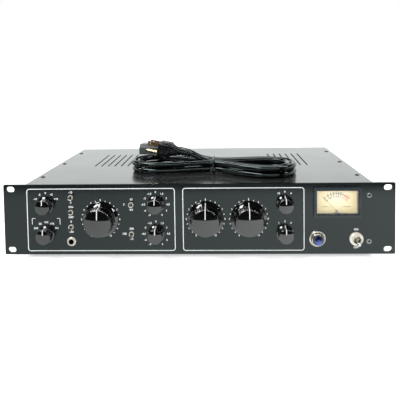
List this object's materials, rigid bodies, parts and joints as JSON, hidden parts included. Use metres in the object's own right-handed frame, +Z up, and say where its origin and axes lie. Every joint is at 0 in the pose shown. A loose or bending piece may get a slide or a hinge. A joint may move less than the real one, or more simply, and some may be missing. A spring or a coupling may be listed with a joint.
{
  "type": "rack compressor",
  "caption": "Rack-mount audio compressor with tube preamplifier: fluted knobs, toggle switches, needle meter, jewel lamp and a tied mains lead lying on its cover.",
  "frame": {"origin": "centre of the four rack slots, on the back face of the front panel", "axes": "+X to the right seen from the front, +Y to the rear into the rack, +Z up"},
  "size_m": [0.4826, 0.3325, 0.132],
  "materials": {
    "panel_paint": "satin",
    "case_paint": "satin",
    "black_screws": "satin",
    "plated_steel": "satin",
    "foot_rubber": "matte",
    "board": "satin",
    "winding_tape": "satin",
    "tube_glass": "polished",
    "ceramic": "gloss",
    "capacitor_sleeve": "gloss",
    "phenolic_wafer": "matte",
    "chrome": "polished",
    "black_plastic": "satin",
    "jewel_glass": "polished",
    "pane": "polished",
    "dial_card": "matte",
    "needle_black": "matte",
    "contact_brass": "satin",
    "cord_jacket": "gloss",
    "tie_wire": "satin",
    "knob_phenolic": "gloss",
    "toggle_black": "gloss"
  },
  "bodies": {
    "unit": {"front_panel": "panel_paint", "chassis_tray": "case_paint", "rear_panel": "case_paint", "top_cover": "case_paint", "case_screws": "black_screws", "panel_screws": "black_screws", "stud_nuts": "plated_steel", "feet": "foot_rubber", "main_board": "board", "board_standoffs": "plated_steel", "mains_transformer": "winding_tape", "transformer_clamp": "plated_steel", "audio_transformers": "plated_steel", "tubes": "tube_glass", "tube_sockets": "ceramic", "opto_cell": "plated_steel", "filter_capacitors": "capacitor_sleeve", "pot_bodies": "plated_steel", "rotary_switch_bodies": "phenolic_wafer", "control_nuts": "plated_steel", "toggle_bodies": "chrome", "power_switch_body": "chrome", "dress_nuts": "chrome", "instrument_jack": "chrome", "lamp_holder": "black_plastic", "lamp_bezel": "chrome", "lamp_jewel": "jewel_glass", "meter_case": "black_plastic", "meter_bezel": "black_plastic", "meter_window": "pane", "meter_dial": "dial_card", "meter_movement": "plated_steel", "mains_inlet": "black_plastic", "fuse_holder": "black_plastic", "input_sockets": "black_plastic", "output_socket": "black_plastic", "connector_pins": "contact_brass", "lead_hank": "cord_jacket", "lead_plug_tail": "cord_jacket", "lead_connector_tail": "cord_jacket", "mains_plug": "black_plastic", "plug_blades": "contact_brass", "lead_connector": "black_plastic", "lead_tie": "tie_wire"},
    "gain_switch_knob": {"gain_switch_knob": "knob_phenolic"},
    "source_switch_knob": {"source_switch_knob": "knob_phenolic"},
    "level_knob": {"level_knob": "knob_phenolic"},
    "treble_knob": {"treble_knob": "knob_phenolic"},
    "bass_knob": {"bass_knob": "knob_phenolic"},
    "reduction_knob": {"reduction_knob": "knob_phenolic"},
    "makeup_knob": {"makeup_knob": "knob_phenolic"},
    "meter_select_knob": {"meter_select_knob": "knob_phenolic"},
    "mode_knob": {"mode_knob": "knob_phenolic"},
    "pad_toggle": {"pad_toggle": "toggle_black"},
    "phantom_toggle": {"phantom_toggle": "toggle_black"},
    "polarity_toggle": {"polarity_toggle": "toggle_black"},
    "treble_band_toggle": {"treble_band_toggle": "toggle_black"},
    "bass_band_toggle": {"bass_band_toggle": "toggle_black"},
    "power_lever": {"power_lever": "chrome"},
    "meter_needle": {"meter_needle": "needle_black"}
  },
  "joints": [
    {"name": "gain_switch_turn", "type": "hinge", "parent": "unit", "child": "gain_switch_knob", "pos_m": [-0.1885, 0, 0.01835], "axis": [0, 1, 0], "range_deg": [-60, 60]},
    {"name": "source_switch_turn", "type": "hinge", "parent": "unit", "child": "source_switch_knob", "pos_m": [-0.1885, 0, -0.01835], "axis": [0, 1, 0], "range_deg": [-60, 60]},
    {"name": "level_turn", "type": "hinge", "parent": "unit", "child": "level_knob", "pos_m": [-0.12, 0, 0], "axis": [0, 1, 0], "range_deg": [-150, 150]},
    {"name": "treble_turn", "type": "hinge", "parent": "unit", "child": "treble_knob", "pos_m": [-0.0513, 0, 0.01835], "axis": [0, 1, 0], "range_deg": [-150, 150]},
    {"name": "bass_turn", "type": "hinge", "parent": "unit", "child": "bass_knob", "pos_m": [-0.0513, 0, -0.01835], "axis": [0, 1, 0], "range_deg": [-150, 150]},
    {"name": "reduction_turn", "type": "hinge", "parent": "unit", "child": "reduction_knob", "pos_m": [0.0103, 0, 0], "axis": [0, 1, 0], "range_deg": [-150, 150]},
    {"name": "makeup_turn", "type": "hinge", "parent": "unit", "child": "makeup_knob", "pos_m": [0.0633, 0, 0], "axis": [0, 1, 0], "range_deg": [-150, 150]},
    {"name": "meter_select_turn", "type": "hinge", "parent": "unit", "child": "meter_select_knob", "pos_m": [0.1075, 0, 0.01835], "axis": [0, 1, 0], "range_deg": [-30, 30]},
    {"name": "mode_turn", "type": "hinge", "parent": "unit", "child": "mode_knob", "pos_m": [0.1075, 0, -0.01835], "axis": [0, 1, 0], "range_deg": [-30, 30]},
    {"name": "pad_flip", "type": "hinge", "parent": "unit", "child": "pad_toggle", "pos_m": [-0.157, -0.0038, 0.02753], "axis": [-1, 0, 0], "range_deg": [-24, 0]},
    {"name": "phantom_flip", "type": "hinge", "parent": "unit", "child": "phantom_toggle", "pos_m": [-0.157, -0.0038, 0.00918], "axis": [-1, 0, 0], "range_deg": [-24, 0]},
    {"name": "polarity_flip", "type": "hinge", "parent": "unit", "child": "polarity_toggle", "pos_m": [-0.157, -0.0038, -0.00918], "axis": [-1, 0, 0], "range_deg": [0, 24]},
    {"name": "treble_band_flip", "type": "hinge", "parent": "unit", "child": "treble_band_toggle", "pos_m": [-0.0817, -0.0038, 0.01835], "axis": [-1, 0, 0], "range_deg": [-24, 0]},
    {"name": "bass_band_flip", "type": "hinge", "parent": "unit", "child": "bass_band_toggle", "pos_m": [-0.0817, -0.0038, -0.01835], "axis": [-1, 0, 0], "range_deg": [0, 24]},
    {"name": "power_flip", "type": "hinge", "parent": "unit", "child": "power_lever", "pos_m": [0.1939, -0.0066, -0.0249], "axis": [-1, 0, 0], "range_deg": [0, 28]},
    {"name": "needle_swing", "type": "hinge", "parent": "unit", "child": "meter_needle", "pos_m": [0.171, 0, 0.0085], "axis": [0, 1, 0], "range_deg": [0, 88], "stiffness_Nm_per_rad": 0.00002, "springref_deg": -28.65}
  ]
}
